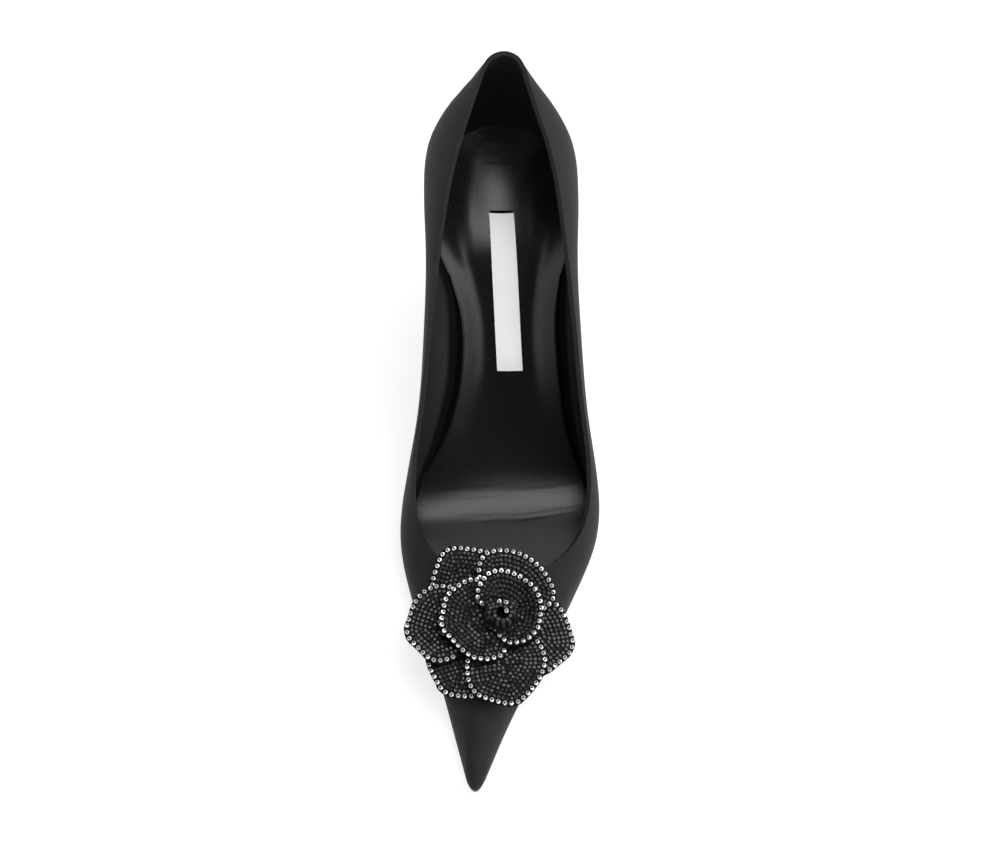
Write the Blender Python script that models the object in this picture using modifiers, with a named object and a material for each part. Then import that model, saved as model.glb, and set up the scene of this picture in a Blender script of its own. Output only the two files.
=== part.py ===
"""A stiletto pump, left shoe: pointed toe, low-cut throat, thin covered heel and a flower on the vamp.

The shoe is built round its last. A profile table gives the last's underside, and a table of wall lines
gives the upper from the feather edge (where upper meets sole) to the topline. The other pieces are cut
from those two. X runs to the outer (lateral) side, Y from toe to heel, Z up from the floor.
"""

from collections import namedtuple
from math import atan, cos, pi, radians, sin

import bmesh
import bpy
import numpy as np
from mathutils import Matrix, Vector

MM = 0.001

# Driving dimensions
LENGTH = 240 * MM  # toe tip to heel back, along the floor
HALF_BALL = 38 * MM  # half the width across the ball
SEAT_HEIGHT = 90 * MM  # floor to the heel seat, at the back
COLLAR_HEIGHT = 61 * MM  # heel seat to the topline, at the back
BALL_ALONG = 124 * MM  # where the foot bends, from the toe tip
BALL_SLANT = 0.10  # the bend runs back towards the outer side, by this much of the distance across
BALL_SPAN = 62 * MM  # the slant fades out over this distance either way

# Thicknesses and clearances
UPPER_WALL = 1.6 * MM
INSOLE_THICKNESS = 3.0 * MM
SOLE_THICKNESS = 2.6 * MM
SEAM_GAP = 0.3 * MM  # between pieces that are glued together
INSOLE_INSET = 2.6 * MM  # insole edge inside the feather edge
INSOLE_FIRST_ROW = 2  # the insole starts at this wall line, short of the toe tip
SOLE_INSET = 0.5 * MM  # sole and heel edge inside the feather edge

# Heel
BREAST_ROW = 10  # the heel's front edge stands under this wall line
STEM_ALONG = 226 * MM  # centre of the stem, from the toe tip
STEM_TOP_RADIUS = 6.5 * MM
STEM_TIP_RADIUS = 4.6 * MM
STEM_FRONT = radians(35)  # the stem's flat front starts this far ahead of its sides
HEEL_LIP = 2.6 * MM  # the heel's edge under the seat, before it necks down
NECK_CURVE = 3.6  # how fast the seat necks down to the stem
TOP_PIECE_HEIGHT = 5 * MM

# Sock label
LABEL_LENGTH = 59.5 * MM
LABEL_WIDTH = 10.5 * MM
LABEL_THICKNESS = 0.5 * MM
LABEL_ALONG = 186.8 * MM  # centre of the label, from the toe tip
LABEL_ACROSS = 1.8 * MM
LABEL_LEAN = radians(4.2)  # on the floor plan

# Flower
FLOWER_ALONG = 60 * MM  # on the ridge of the vamp, from the toe tip
FLOWER_ACROSS = 3.4 * MM  # from the ridge, to the outer side
POST_RADIUS = 3.0 * MM
PETAL_ROOT = 3.4 * MM
PETAL_THICKNESS = 1.4 * MM
PETAL_SPAN = 30 * MM  # the distance from the post that a layer's rise and droop are given at
PETAL_CORNER = 2.4 * MM  # cut off either side of a petal's corner
PETAL_RINGS = 4
BUD_SEAT = 10.6 * MM  # the rolled bud stands on a disc at this height
BUD_DISC = 1.2 * MM
BUD_TOP = 20 * MM
BUD_FALL = 3.0 * MM  # the roll's top edge comes down this much from its core to its end
BUD_CORE = 1.8 * MM  # the roll's first and last radius, halfway through its wall
BUD_RADIUS = 6.0 * MM
BUD_WALL = 1.2 * MM
BUD_TURNS = 1.6
BUD_TAPER = 0.7 * MM  # the roll is this much narrower at its top

# The flower's layers, in mm: height of the petals' upper face at the middle, and at PETAL_SPAN its rise all
# round and its droop to either side, where the vamp falls away.
Layer = namedtuple("Layer", "lift rise droop")
LOW = Layer(1.8, 1.5, 3.5)
HIGH = Layer(4.2, 3.5, 2.5)
OUTER_WRAP = Layer(6.8, 11.0, 0.0)
INNER_WRAP = Layer(9.2, 18.0, 0.0)

# The petals' corners: each is an angle from the outer side, turning towards the heel, in degrees,
# and a reach from the flower's middle, in mm.
Petal = namedtuple("Petal", "name layer corners")
PETALS = (
    Petal("petal_low_1", LOW, (
        (97, 25.5), (110, 27.9), (122, 31.9), (134, 36.2), (144, 33.3), (158, 31.0), (170, 27.0),
    )),
    Petal("petal_low_2", LOW, (
        (-58, 24.5), (-44, 26.5), (-30, 27.4), (-15, 29.9), (-2, 27.0), (16, 24.0), (27, 22.0), (40, 19.5),
    )),
    Petal("petal_low_3", LOW, (
        (-160, 28.5), (-147, 32.5), (-133, 33.7), (-123, 36.0), (-111, 33.3), (-101, 30.7), (-90, 27.5),
    )),
    Petal("petal_high_1", HIGH, (
        (10, 12.0), (16, 15.9), (24, 20.8), (30, 22.8), (47, 24.2),
        (67, 25.8), (88, 26.8), (108, 26.8), (118, 24.4), (126, 19.0),
    )),
    Petal("petal_high_2", HIGH, (
        (-127, 20.0), (-118, 24.6), (-107, 30.5), (-94, 31.7), (-75, 34.0),
        (-59, 29.3), (-43, 25.4), (-33, 21.8), (-25, 17.5), (-19, 13.0),
    )),
    Petal("petal_high_3", HIGH, (
        (147, 18.5), (153, 24.8), (159, 29.2), (171, 33.5), (184, 34.8),
        (195, 37.4), (207, 33.2), (219, 31.0), (225, 27.0), (228, 21.0),
    )),
    Petal("petal_wrap_outer", OUTER_WRAP, (
        (117, 12.5), (123, 16.0), (132, 18.4), (152, 20.5), (167, 22.4), (183, 22.1), (197, 23.8),
        (211, 21.0), (233, 19.9), (251, 19.0), (275, 15.5), (283, 13.8), (291, 10.0),
    )),
    Petal("petal_wrap_inner", INNER_WRAP, (
        (-108, 6.2), (-83, 9.8), (-60, 12.4), (-28, 14.8), (1, 15.0), (28, 16.1), (53, 16.4),
        (87, 17.0), (110, 17.2), (126, 15.4), (147, 13.0), (155, 11.0), (162, 7.5),
    )),
)

# The last's underside: along in % of LENGTH, height in % of SEAT_HEIGHT, crown and arch in mm.
# crown lifts both edges of the underside, arch lifts the inner edge, each at half the ball width.
Profile = namedtuple("Profile", "along height crown arch")
PROFILE = (
    Profile(0.0, 9.2, 0.0, 0.0),
    Profile(12.5, 5.3, 0.0, 0.0),
    Profile(25.0, 3.3, 0.0, 0.0),
    Profile(36.0, 2.7, 0.0, 0.0),
    Profile(45.0, 2.7, 0.0, 0.0),
    Profile(50.0, 3.7, 0.0, 0.0),
    Profile(54.5, 8.8, 1.5, 1.0),
    Profile(61.0, 21.3, 6.5, 4.0),
    Profile(68.8, 42.0, 13.0, 10.5),
    Profile(75.0, 59.0, 14.5, 11.5),
    Profile(81.0, 74.3, 15.0, 6.0),
    Profile(89.0, 83.6, 19.0, 1.5),
    Profile(95.0, 90.6, 21.0, 0.0),
    Profile(100.0, 100.0, 10.0, 0.0),
)

# The upper's wall lines, from toe to heel. Each row is a line up the inner side and one up the outer side.
# Feather edge: along in % of LENGTH; inner and outer in % of HALF_BALL from the centre line.
# Topline: top_along, top_inner and top_outer likewise; top is its height over the last's underside,
# in % of COLLAR_HEIGHT. The rest shape the line between them, in mm: shoulder is its climb off the feather
# edge, inner_belly and outer_belly its swell on either side, crest the lift of its upper half.
Wall = namedtuple(
    "Wall", "along inner outer top_along top_inner top_outer top shoulder inner_belly outer_belly crest"
)
WALLS = (
    Wall(0.0, 25.0, -25.0, 32.5, 3.0, -3.0, 45.0, 7.0, 0.4, 0.4, 1.0),
    Wall(0.6, 30.8, -19.2, 32.6, 16.0, 10.0, 44.6, 7.0, 0.4, 0.4, 0.8),
    Wall(2.5, 35.0, -13.4, 33.0, 29.0, 23.0, 43.4, 7.0, 0.5, 0.5, 0.2),
    Wall(10.0, 47.0, 5.0, 34.0, 46.0, 41.0, 41.0, 7.0, 0.8, 0.8, -0.4),
    Wall(20.8, 65.5, 36.5, 35.8, 62.0, 58.0, 40.5, 8.5, 1.2, 1.2, -0.2),
    Wall(31.2, 87.0, 68.0, 38.3, 76.0, 74.0, 43.0, 11.0, 2.2, 1.8, 0.0),
    Wall(40.8, 98.0, 91.5, 42.5, 87.0, 87.0, 49.0, 12.0, 3.5, 3.2, 0.0),
    Wall(48.3, 93.0, 94.5, 49.0, 90.0, 91.0, 56.0, 13.0, 3.5, 3.5, 0.0),
    Wall(56.7, 72.5, 81.5, 57.0, 82.5, 84.5, 63.0, 12.0, 5.0, 4.5, 0.0),
    Wall(66.7, 49.5, 67.0, 66.5, 73.0, 75.0, 71.0, 11.0, 9.4, 6.0, 0.0),
    Wall(78.3, 55.0, 64.0, 77.6, 59.0, 62.0, 76.5, 11.0, 9.8, 6.7, 0.0),
    Wall(88.8, 68.0, 68.0, 87.2, 42.0, 46.0, 90.0, 11.0, 7.4, 6.8, 0.0),
    Wall(95.8, 56.5, 56.0, 94.0, 24.5, 28.0, 100.0, 13.0, 7.2, 6.3, 0.0),
    Wall(99.0, 30.5, 30.5, 97.4, 13.5, 18.5, 99.8, 15.0, 4.2, 3.6, 0.0),
    Wall(100.0, 0.0, 0.0, 98.6, -2.5, 2.5, 97.5, 16.0, 3.6, 3.6, 0.0),
)
COLUMNS_PER_LINE = 3
WALL_LEVELS = 12
ACROSS_STEPS = 8
HEEL_LEVELS = 14
TOP_PIECE_POINTS = 25
LABEL_STEPS = 8
LABEL_SIDE_STEPS = 2
BUD_STEPS = 24
RIDGE_STEPS = 100
MERGE_DISTANCE = 0.001 * MM
SLOPE_STEP = 0.1 * MM  # slopes are measured over this distance either way
SHARP_ANGLE = radians(40)  # edges that turn more are shaded sharp


def spline(knots, values, closed=False):
    """A smooth function through values at knots. closed repeats the first value at the last knot."""
    knots = np.asarray(knots, float)
    values = np.asarray(values, float)
    count = len(values)
    steps = np.diff(knots)
    rises = np.roll(values, -1, 0)[: len(steps)] - values[: len(steps)]
    spans = rises / steps.reshape(-1, *[1] * (values.ndim - 1))
    matrix = np.zeros((count, count))
    right = np.zeros(values.shape)
    for i in range(count):
        before, after = i - 1, i
        if not closed and i == 0:
            matrix[i, 0:2] = 2, 1
            right[i] = 3 * spans[0]
        elif not closed and i == count - 1:
            matrix[i, -2:] = 1, 2
            right[i] = 3 * spans[-1]
        else:
            a, b = 1 / steps[before], 1 / steps[after]
            matrix[i, (i - 1) % count] += a
            matrix[i, i] += 2 * (a + b)
            matrix[i, (i + 1) % count] += b
            right[i] = 3 * (spans[before] * a + spans[after] * b)
    slopes = np.linalg.solve(matrix, right.reshape(count, -1)).reshape(values.shape)

    def at(where):
        if closed:
            where = knots[0] + (where - knots[0]) % (knots[-1] - knots[0])
        i = int(np.clip(np.searchsorted(knots, where, "right") - 1, 0, len(steps) - 1))
        h = steps[i]
        k = (where - knots[i]) / h
        j = (i + 1) % count
        return (
            values[i] * (1 + 2 * k) * (1 - k) ** 2
            + values[j] * k * k * (3 - 2 * k)
            + h * k * (1 - k) * (slopes[i] * (1 - k) - slopes[j] * k)
        )

    return at


profile_at = spline(
    [row.along / 100 * LENGTH for row in PROFILE],
    [(row.height / 100 * SEAT_HEIGHT, row.crown * MM, row.arch * MM) for row in PROFILE],
)


def underside(x, y):
    """Height of the last's underside over the floor."""
    from_ball = min(1.0, abs(y - BALL_ALONG) / BALL_SPAN)
    slant = BALL_SLANT * (1 + cos(pi * from_ball)) / 2
    height, crown, arch = profile_at(y - slant * x)
    inner = max(0.0, -x / HALF_BALL)
    return height + crown * (x / HALF_BALL) ** 2 + arch * inner**2


def bezier(controls, k):
    first, second, third, last = controls
    return first * (1 - k) ** 3 + 3 * second * k * (1 - k) ** 2 + 3 * third * k * k * (1 - k) + last * k**3


def wall_rows():
    """The wall lines in order round the shoe: toe, inner side, heel back, outer side."""
    inner = [(row, -row.inner, -row.top_inner, row.inner_belly) for row in WALLS]
    outer = [(row, row.outer, row.top_outer, row.outer_belly) for row in WALLS[-2:0:-1]]
    return inner + outer


def feather_point(row, across):
    x, y = across / 100 * HALF_BALL, row.along / 100 * LENGTH
    return np.array((x, y, underside(x, y)))


def topline_point(row, across):
    x, y = across / 100 * HALF_BALL, row.top_along / 100 * LENGTH
    return np.array((x, y, underside(0, y) + row.top / 100 * COLLAR_HEIGHT))


def around(points, others):
    """Knots for a closed curve through points, spaced by the mean step of two loops."""
    step = [np.linalg.norm(np.roll(loop, -1, 0) - loop, axis=1) for loop in (points, others)]
    return np.concatenate([[0.0], np.cumsum(sum(step) / 2)])


class Last:
    """The surface of the upper and the loop of its feather edge, both run by one place round the shoe."""

    def __init__(self):
        rows = wall_rows()
        feather = np.array([feather_point(row, across) for row, across, _, _ in rows])
        topline = np.array([topline_point(row, across) for row, _, across, _ in rows])
        self.knots = around(feather, topline)
        self.feather = spline(self.knots, feather, closed=True)
        controls = []
        for (row, _, _, belly), knot, foot, top in zip(rows, self.knots, feather, topline):
            out = self.outward(knot) * belly * MM
            low = foot + out + np.array((0, 0, row.shoulder * MM))
            high = (low + top) / 2 + out / 2 + np.array((0, 0, row.crest * MM))
            controls.append((foot, low, high, top))
        self.wall = spline(self.knots, np.array(controls), closed=True)

    def outward(self, place):
        """The level direction square to the feather edge, away from the shoe."""
        run = self.feather(place + SLOPE_STEP) - self.feather(place - SLOPE_STEP)
        return np.array((-run[1], run[0], 0.0)) / np.hypot(run[0], run[1])

    def places(self, first_row=0, last_row=len(WALLS) - 1):
        """Places down the inner side, from one row of WALLS to another."""
        knots = self.knots[first_row : last_row + 1]
        steps = [np.linspace(a, b, COLUMNS_PER_LINE, endpoint=False) for a, b in zip(knots, knots[1:])]
        return np.concatenate([*steps, knots[-1:]])

    def opposite(self, place):
        """The outer side's place that pairs with a place on the inner side."""
        index = int(np.clip(np.searchsorted(self.knots, place, "right") - 1, 0, len(WALLS) - 2))
        share = (place - self.knots[index]) / (self.knots[index + 1] - self.knots[index])
        far = self.knots[::-1]
        return far[index] + share * (far[index + 1] - far[index])

    def surface(self, place, level):
        return bezier(self.wall(place), level)

    def edge(self, place, inset):
        """A point of the feather edge on the floor plan, moved inward."""
        return (self.feather(place) - self.outward(place) * inset)[:2]


LAST = Last()


# Mesh helpers


def add_loft(mesh, rows, closed=False):
    """Joins each row of points to the next with quads. closed joins each row's end to its start."""
    lines = [[mesh.verts.new(point) for point in row] for row in rows]
    for line, following in zip(lines, lines[1:]):
        count = len(line)
        for i in range(count if closed else count - 1):
            j = (i + 1) % count
            mesh.faces.new((line[i], line[j], following[j], following[i]))
    return lines


def make_object(name, mesh, finish, parent):
    """Turns a bmesh into an object of the shoe, with doubles merged and round faces shaded smooth."""
    bmesh.ops.remove_doubles(mesh, verts=mesh.verts, dist=MERGE_DISTANCE)
    data = bpy.data.meshes.new(name)
    mesh.to_mesh(data)
    mesh.free()
    data.shade_smooth()
    data.set_sharp_from_angle(angle=SHARP_ANGLE)
    data.materials.append(finish)
    made = bpy.data.objects.new(name, data)
    made.parent = parent
    SHOE.objects.link(made)
    return made


def thicken(piece, thickness, side):
    """Gives a sheet its thickness, on the side its faces point to (1) or the other (-1)."""
    wall = piece.modifiers.new("thickness", "SOLIDIFY")
    wall.thickness = thickness
    wall.offset = side
    wall.use_even_offset = True
    wall.use_quality_normals = True


def make_finish(name, colour, roughness, metallic=0.0):
    made = bpy.data.materials.new(name)
    made.use_nodes = True
    shader = made.node_tree.nodes["Principled BSDF"]
    shader.inputs["Base Color"].default_value = (*colour, 1.0)
    shader.inputs["Roughness"].default_value = roughness
    shader.inputs["Metallic"].default_value = metallic
    return made


def plate_rows(first_row, last_row, inset, drop):
    """Lines across the last's underside, from one row of WALLS to another."""
    rows = []
    for place in LAST.places(first_row, last_row):
        near = LAST.edge(place, inset)
        far = LAST.edge(LAST.opposite(place), inset)
        line = [near + (far - near) * share for share in np.linspace(0, 1, ACROSS_STEPS + 1)]
        rows.append([(x, y, underside(x, y) - drop) for x, y in line])
    return rows


# Pieces


def make_upper(parent):
    """The lasted shell: wall lines from the topline down to the feather edge, thickened inward."""
    inner = LAST.places()
    ring = [*inner, *(LAST.opposite(place) for place in inner[-2:0:-1])]
    levels = (1 + np.cos(np.linspace(0, pi, WALL_LEVELS + 1))) / 2  # closest at both edges
    mesh = bmesh.new()
    add_loft(mesh, [[LAST.surface(place, level) for place in ring] for level in levels], closed=True)
    upper = make_object("upper", mesh, make_finish("satin", (0.03, 0.03, 0.032), 0.6), parent)
    thicken(upper, UPPER_WALL, -1)


def make_insole(parent):
    mesh = bmesh.new()
    add_loft(mesh, plate_rows(INSOLE_FIRST_ROW, len(WALLS) - 1, INSOLE_INSET, 0))
    insole = make_object("insole", mesh, make_finish("sock_leather", (0.04, 0.04, 0.04), 0.5), parent)
    thicken(insole, INSOLE_THICKNESS, 1)


def make_outsole(parent):
    """The sole follows the last's underside and is ground flat where it stands on the floor."""
    mesh = bmesh.new()
    add_loft(mesh, plate_rows(0, BREAST_ROW, SOLE_INSET, SEAM_GAP))
    outsole = make_object("outsole", mesh, make_finish("sole_leather", (0.02, 0.02, 0.02), 0.45), parent)
    thicken(outsole, SOLE_THICKNESS, -1)
    floor = add_floor_cutter(parent)
    cut = outsole.modifiers.new("ground_flat", "BOOLEAN")
    cut.object = floor
    cut.solver = "EXACT"


def add_floor_cutter(parent):
    mesh = bmesh.new()
    bmesh.ops.create_cube(mesh, size=LENGTH)
    bmesh.ops.translate(mesh, verts=mesh.verts, vec=(0, LENGTH / 2, -LENGTH / 2))
    data = bpy.data.meshes.new("floor_cutter")
    mesh.to_mesh(data)
    mesh.free()
    return hide_as_cutter(bpy.data.objects.new("floor_cutter", data), parent)


def hide_as_cutter(cutter, parent):
    cutter.parent = parent
    cutter.hide_render = True
    cutter.display_type = "WIRE"
    CUTTERS.objects.link(cutter)
    return cutter


def stem_outline(radius, count):
    """Points round the stem, from its flat front's inner corner round the back to the outer corner."""
    angles = np.linspace(-STEM_FRONT, pi + STEM_FRONT, count)
    return np.array([(-radius * cos(angle), STEM_ALONG + radius * sin(angle)) for angle in angles])


def lip_point(point):
    """A point of the heel's rim moved through the lip: square to the sole in front, straight down behind."""
    x, y, z = point
    slope = (profile_at(y + SLOPE_STEP)[0] - profile_at(y - SLOPE_STEP)[0]) / (2 * SLOPE_STEP)
    lean = atan(slope)
    breast = WALLS[BREAST_ROW].along / 100 * LENGTH
    forward = (LENGTH - y) / (LENGTH - breast)
    return x, y + HEEL_LIP * sin(lean) * forward, z - HEEL_LIP * cos(lean)


def make_heel(parent):
    """The heel: a lipped cup under the seat that necks down to a thin stem with a flat front."""
    plate = plate_rows(BREAST_ROW, len(WALLS) - 1, SOLE_INSET, SEAM_GAP)
    breast = plate[0][0][1] + SEAM_GAP
    plate[0] = [(x, breast, underside(x, breast) - SEAM_GAP) for x, _, _ in plate[0]]
    inner = [row[0] for row in plate]
    outer = [row[-1] for row in plate[-2::-1]]
    rim = np.array([*inner, *outer, *plate[0][-2:0:-1]])
    lip = np.array([lip_point(point) for point in rim])
    sides = len(inner) + len(outer)
    front_shares = np.linspace(0, 1, ACROSS_STEPS + 1)[1:-1]
    bottom = TOP_PIECE_HEIGHT + SEAM_GAP
    rings = [rim]
    for level in np.linspace(0, 1, HEEL_LEVELS + 1):
        radius = STEM_TOP_RADIUS + (STEM_TIP_RADIUS - STEM_TOP_RADIUS) * level
        stem = stem_outline(radius, sides)
        front = [stem[-1] + (stem[0] - stem[-1]) * share for share in front_shares]
        stem = np.array([*stem, *front])
        necked = 1 - (1 - level) ** NECK_CURVE
        plan = lip[:, :2] + (stem - lip[:, :2]) * necked
        height = lip[:, 2] + (bottom - lip[:, 2]) * level
        rings.append(np.column_stack([plan, height]))
    mesh = bmesh.new()
    lines = add_loft(mesh, rings, closed=True)
    mesh.faces.new(lines[-1])
    add_loft(mesh, plate)
    bmesh.ops.remove_doubles(mesh, verts=mesh.verts, dist=MERGE_DISTANCE)
    bmesh.ops.recalc_face_normals(mesh, faces=mesh.faces)
    make_object("heel", mesh, make_finish("heel_cover", (0.025, 0.025, 0.027), 0.55), parent)


def make_top_piece(parent):
    outline = bpy.data.curves.new("top_piece_outline", "CURVE")
    outline.dimensions = "2D"
    outline.fill_mode = "BOTH"
    outline.extrude = TOP_PIECE_HEIGHT / 2
    edge = outline.splines.new("POLY")
    points = stem_outline(STEM_TIP_RADIUS, TOP_PIECE_POINTS)
    edge.points.add(len(points) - 1)
    for slot, (x, y) in zip(edge.points, points):
        slot.co = (x, y, 0, 1)
    edge.use_cyclic_u = True
    outline.materials.append(make_finish("top_piece_rubber", (0.02, 0.02, 0.02), 0.7))
    top_piece = bpy.data.objects.new("top_piece", outline)
    top_piece.parent = parent
    top_piece.location.z = TOP_PIECE_HEIGHT / 2
    SHOE.objects.link(top_piece)


def insole_point(x, y, lift):
    """A point over the insole's lower face, measured square to it."""
    slope_x = (underside(x + SLOPE_STEP, y) - underside(x - SLOPE_STEP, y)) / (2 * SLOPE_STEP)
    slope_y = (underside(x, y + SLOPE_STEP) - underside(x, y - SLOPE_STEP)) / (2 * SLOPE_STEP)
    square = Vector((-slope_x, -slope_y, 1)).normalized()
    return Vector((x, y, underside(x, y))) + square * lift


def make_sock_label(parent):
    """A strip laid along the insole's slope."""
    lift = INSOLE_THICKNESS + SEAM_GAP
    slope = insole_point(LABEL_ACROSS, LABEL_ALONG + LABEL_LENGTH / 2, 0)
    slope -= insole_point(LABEL_ACROSS, LABEL_ALONG - LABEL_LENGTH / 2, 0)
    run = LABEL_LENGTH * slope.y / slope.length
    rows = []
    for along in np.linspace(-run / 2, run / 2, LABEL_STEPS + 1):
        middle = LABEL_ACROSS - along * sin(LABEL_LEAN)
        sides = np.linspace(-LABEL_WIDTH / 2, LABEL_WIDTH / 2, LABEL_SIDE_STEPS + 1)
        rows.append([insole_point(middle + side, LABEL_ALONG + along, lift) for side in sides])
    mesh = bmesh.new()
    add_loft(mesh, rows)
    label = make_object("sock_label", mesh, make_finish("label_cloth", (0.85, 0.85, 0.85), 0.6), parent)
    thicken(label, LABEL_THICKNESS, 1)


def flower_seat(parent):
    """An empty beside the ridge of the vamp, its Z square to the ridge."""
    ridge = [LAST.surface(0, level) for level in np.linspace(0, 1, RIDGE_STEPS + 1)]
    ahead = next(i for i, point in enumerate(ridge) if point[1] > FLOWER_ALONG)
    run = Vector(ridge[ahead] - ridge[ahead - 1]).normalized()
    across = Vector((1, 0, 0))
    seat = Vector(ridge[ahead]) - run * (ridge[ahead][1] - FLOWER_ALONG) / run.y + across * FLOWER_ACROSS
    square = across.cross(run).normalized()
    turned = Matrix((run.cross(square), run, square)).transposed()
    holder = bpy.data.objects.new("flower_seat", None)
    holder.parent = parent
    holder.matrix_local = Matrix.Translation(seat + square * SEAM_GAP) @ turned.to_4x4()
    SHOE.objects.link(holder)
    return holder


def petal_edge(corners):
    """Points along a petal's edge: straight runs between its corners, with each corner cut off."""
    points = [np.array((cos(radians(angle)), sin(radians(angle)))) * reach * MM for angle, reach in corners]
    edge = [points[0]]
    for before, corner, after in zip(points, points[1:], points[2:]):
        for other in (before, after):
            run = other - corner
            edge.append(corner + run * min(PETAL_CORNER / np.linalg.norm(run), 1 / 3))
    return [*edge, points[-1]]


def petal_height(layer, x, y):
    """Height of a petal's upper face over the flower's seat."""
    rise = layer.rise * (x * x + y * y) - layer.droop * x * x
    return (layer.lift + rise / PETAL_SPAN**2) * MM


def make_petal(petal, holder, finish):
    """A curled sheet round the post: a fan of points from its root out to its edge."""
    rows = []
    for share in np.linspace(1, 0, PETAL_RINGS + 1):
        row = []
        for end in petal_edge(petal.corners):
            root = end * PETAL_ROOT / np.linalg.norm(end)
            x, y = root + (end - root) * share
            row.append((x, y, petal_height(petal.layer, x, y)))
        rows.append(row)
    mesh = bmesh.new()
    add_loft(mesh, rows)
    made = make_object(petal.name, mesh, finish, holder)
    thicken(made, PETAL_THICKNESS, -1)


def make_bud(holder, finish):
    """The flower's middle: a disc on the post, with a rolled sheet on top of it."""
    disc = BUD_SEAT + BUD_DISC
    outline = [(0, disc), (BUD_RADIUS, disc), (BUD_RADIUS, BUD_SEAT)]
    outline += [(POST_RADIUS, BUD_SEAT), (POST_RADIUS, 0), (0, 0)]
    mesh = bmesh.new()
    corners = [mesh.verts.new((x, 0, z)) for x, z in outline]
    for corner, following in zip(corners, corners[1:]):
        mesh.edges.new((corner, following))
    bud = make_object("flower_bud", mesh, finish, holder)
    turn = bud.modifiers.new("turn", "SCREW")
    turn.steps = BUD_STEPS
    turn.render_steps = BUD_STEPS
    turn.use_merge_vertices = True
    turn.merge_threshold = MERGE_DISTANCE
    join = bud.modifiers.new("roll", "BOOLEAN")
    join.operation = "UNION"
    join.object = make_bud_roll(holder)
    join.solver = "EXACT"


def make_bud_roll(holder):
    """The rolled sheet, from its core outwards, with its foot sunk in the disc."""
    rows = []
    for height, wider, fall in ((BUD_SEAT + BUD_DISC / 2, BUD_TAPER, 0), (BUD_TOP, 0, BUD_FALL)):
        row = []
        for share in np.linspace(0, 1, round(BUD_STEPS * BUD_TURNS) + 1):
            angle = 2 * pi * BUD_TURNS * share
            reach = BUD_CORE + (BUD_RADIUS - BUD_WALL - BUD_CORE) * share + wider
            row.append((reach * cos(angle), reach * sin(angle), height - fall * share))
        rows.append(row)
    sheet = bmesh.new()
    add_loft(sheet, rows)
    data = bpy.data.meshes.new("bud_roll")
    sheet.to_mesh(data)
    sheet.free()
    roll = hide_as_cutter(bpy.data.objects.new("bud_roll", data), holder)
    thicken(roll, BUD_WALL, 0)
    return roll


def stand_on_origin(root):
    """Moves the shoe so that the middle of its footprint box is the origin."""
    graph = bpy.context.evaluated_depsgraph_get()
    points = []
    for piece in SHOE.objects:
        if piece.type != "EMPTY":
            solid = piece.evaluated_get(graph)
            points += [solid.matrix_world @ point.co for point in solid.to_mesh().vertices]
    points = np.array(points)
    middle = (points.min(0) + points.max(0)) / 2
    root.location = (-middle[0], -middle[1], 0)


for old in list(bpy.data.objects):
    bpy.data.objects.remove(old)

SHOE = bpy.data.collections.new("stiletto_pump")
CUTTERS = bpy.data.collections.new("cutters")
bpy.context.scene.collection.children.link(SHOE)
bpy.context.scene.collection.children.link(CUTTERS)

shoe_origin = bpy.data.objects.new("shoe_origin", None)
SHOE.objects.link(shoe_origin)
make_upper(shoe_origin)
make_insole(shoe_origin)
make_outsole(shoe_origin)
make_heel(shoe_origin)
make_top_piece(shoe_origin)
make_sock_label(shoe_origin)
flower = flower_seat(shoe_origin)
petal_finish = make_finish("black_stones", (0.03, 0.03, 0.035), 0.3)
for petal in PETALS:
    make_petal(petal, flower, petal_finish)
make_bud(flower, make_finish("bud_stones", (0.05, 0.05, 0.055), 0.3))
stand_on_origin(shoe_origin)
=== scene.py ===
# %% [markdown]
# A black stiletto pump with a stone-set flower, dressed for a product photograph.
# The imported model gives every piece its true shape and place. This script copies those shapes, smooths them,
# gives each one its finish, and sets the stones that are too small for the model.

# %% Load the shoe
from collections import namedtuple
from math import cos, hypot, pi, radians, sin

import bmesh
import bpy
import numpy as np
from mathutils import Matrix, Vector
from mathutils.bvhtree import BVHTree


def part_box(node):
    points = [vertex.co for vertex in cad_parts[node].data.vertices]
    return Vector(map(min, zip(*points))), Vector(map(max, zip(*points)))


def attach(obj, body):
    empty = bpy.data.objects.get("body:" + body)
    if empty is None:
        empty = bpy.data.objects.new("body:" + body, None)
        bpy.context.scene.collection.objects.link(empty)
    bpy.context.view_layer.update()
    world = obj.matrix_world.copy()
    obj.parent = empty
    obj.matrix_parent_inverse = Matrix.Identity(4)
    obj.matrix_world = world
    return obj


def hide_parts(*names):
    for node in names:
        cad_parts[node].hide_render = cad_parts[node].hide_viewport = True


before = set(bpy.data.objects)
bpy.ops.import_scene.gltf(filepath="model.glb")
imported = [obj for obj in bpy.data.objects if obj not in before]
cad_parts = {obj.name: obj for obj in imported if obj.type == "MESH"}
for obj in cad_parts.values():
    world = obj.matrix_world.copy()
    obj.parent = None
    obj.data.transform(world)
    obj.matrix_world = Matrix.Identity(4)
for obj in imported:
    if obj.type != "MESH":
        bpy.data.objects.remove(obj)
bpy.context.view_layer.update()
MM = 0.001
UP = Vector((0, 0, 1))
scene = bpy.context.scene
print("nodes:", ", ".join(sorted(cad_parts)))

# %% [markdown]
# The camera comes first, because everything after it is judged through it. The photograph looks down on the
# toes from the front, about 64 degrees above the floor, from roughly a metre away with a long lens.
# A camera is aimed by turning its own -Z axis along the line of sight, which to_track_quat works out.

# %% Camera
CAMERA_ELEVATION = radians(64)
CAMERA_DISTANCE = 1.0
CAMERA_PIVOT = Vector((0.0004, 0.0042, 0.050))  # middle of the shoe, at half the heel's height
CAMERA_AIM = Vector((0.0, 0.0098, 0.0531))  # what the frame is centred on
CAMERA_LENS = 94.5

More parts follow.
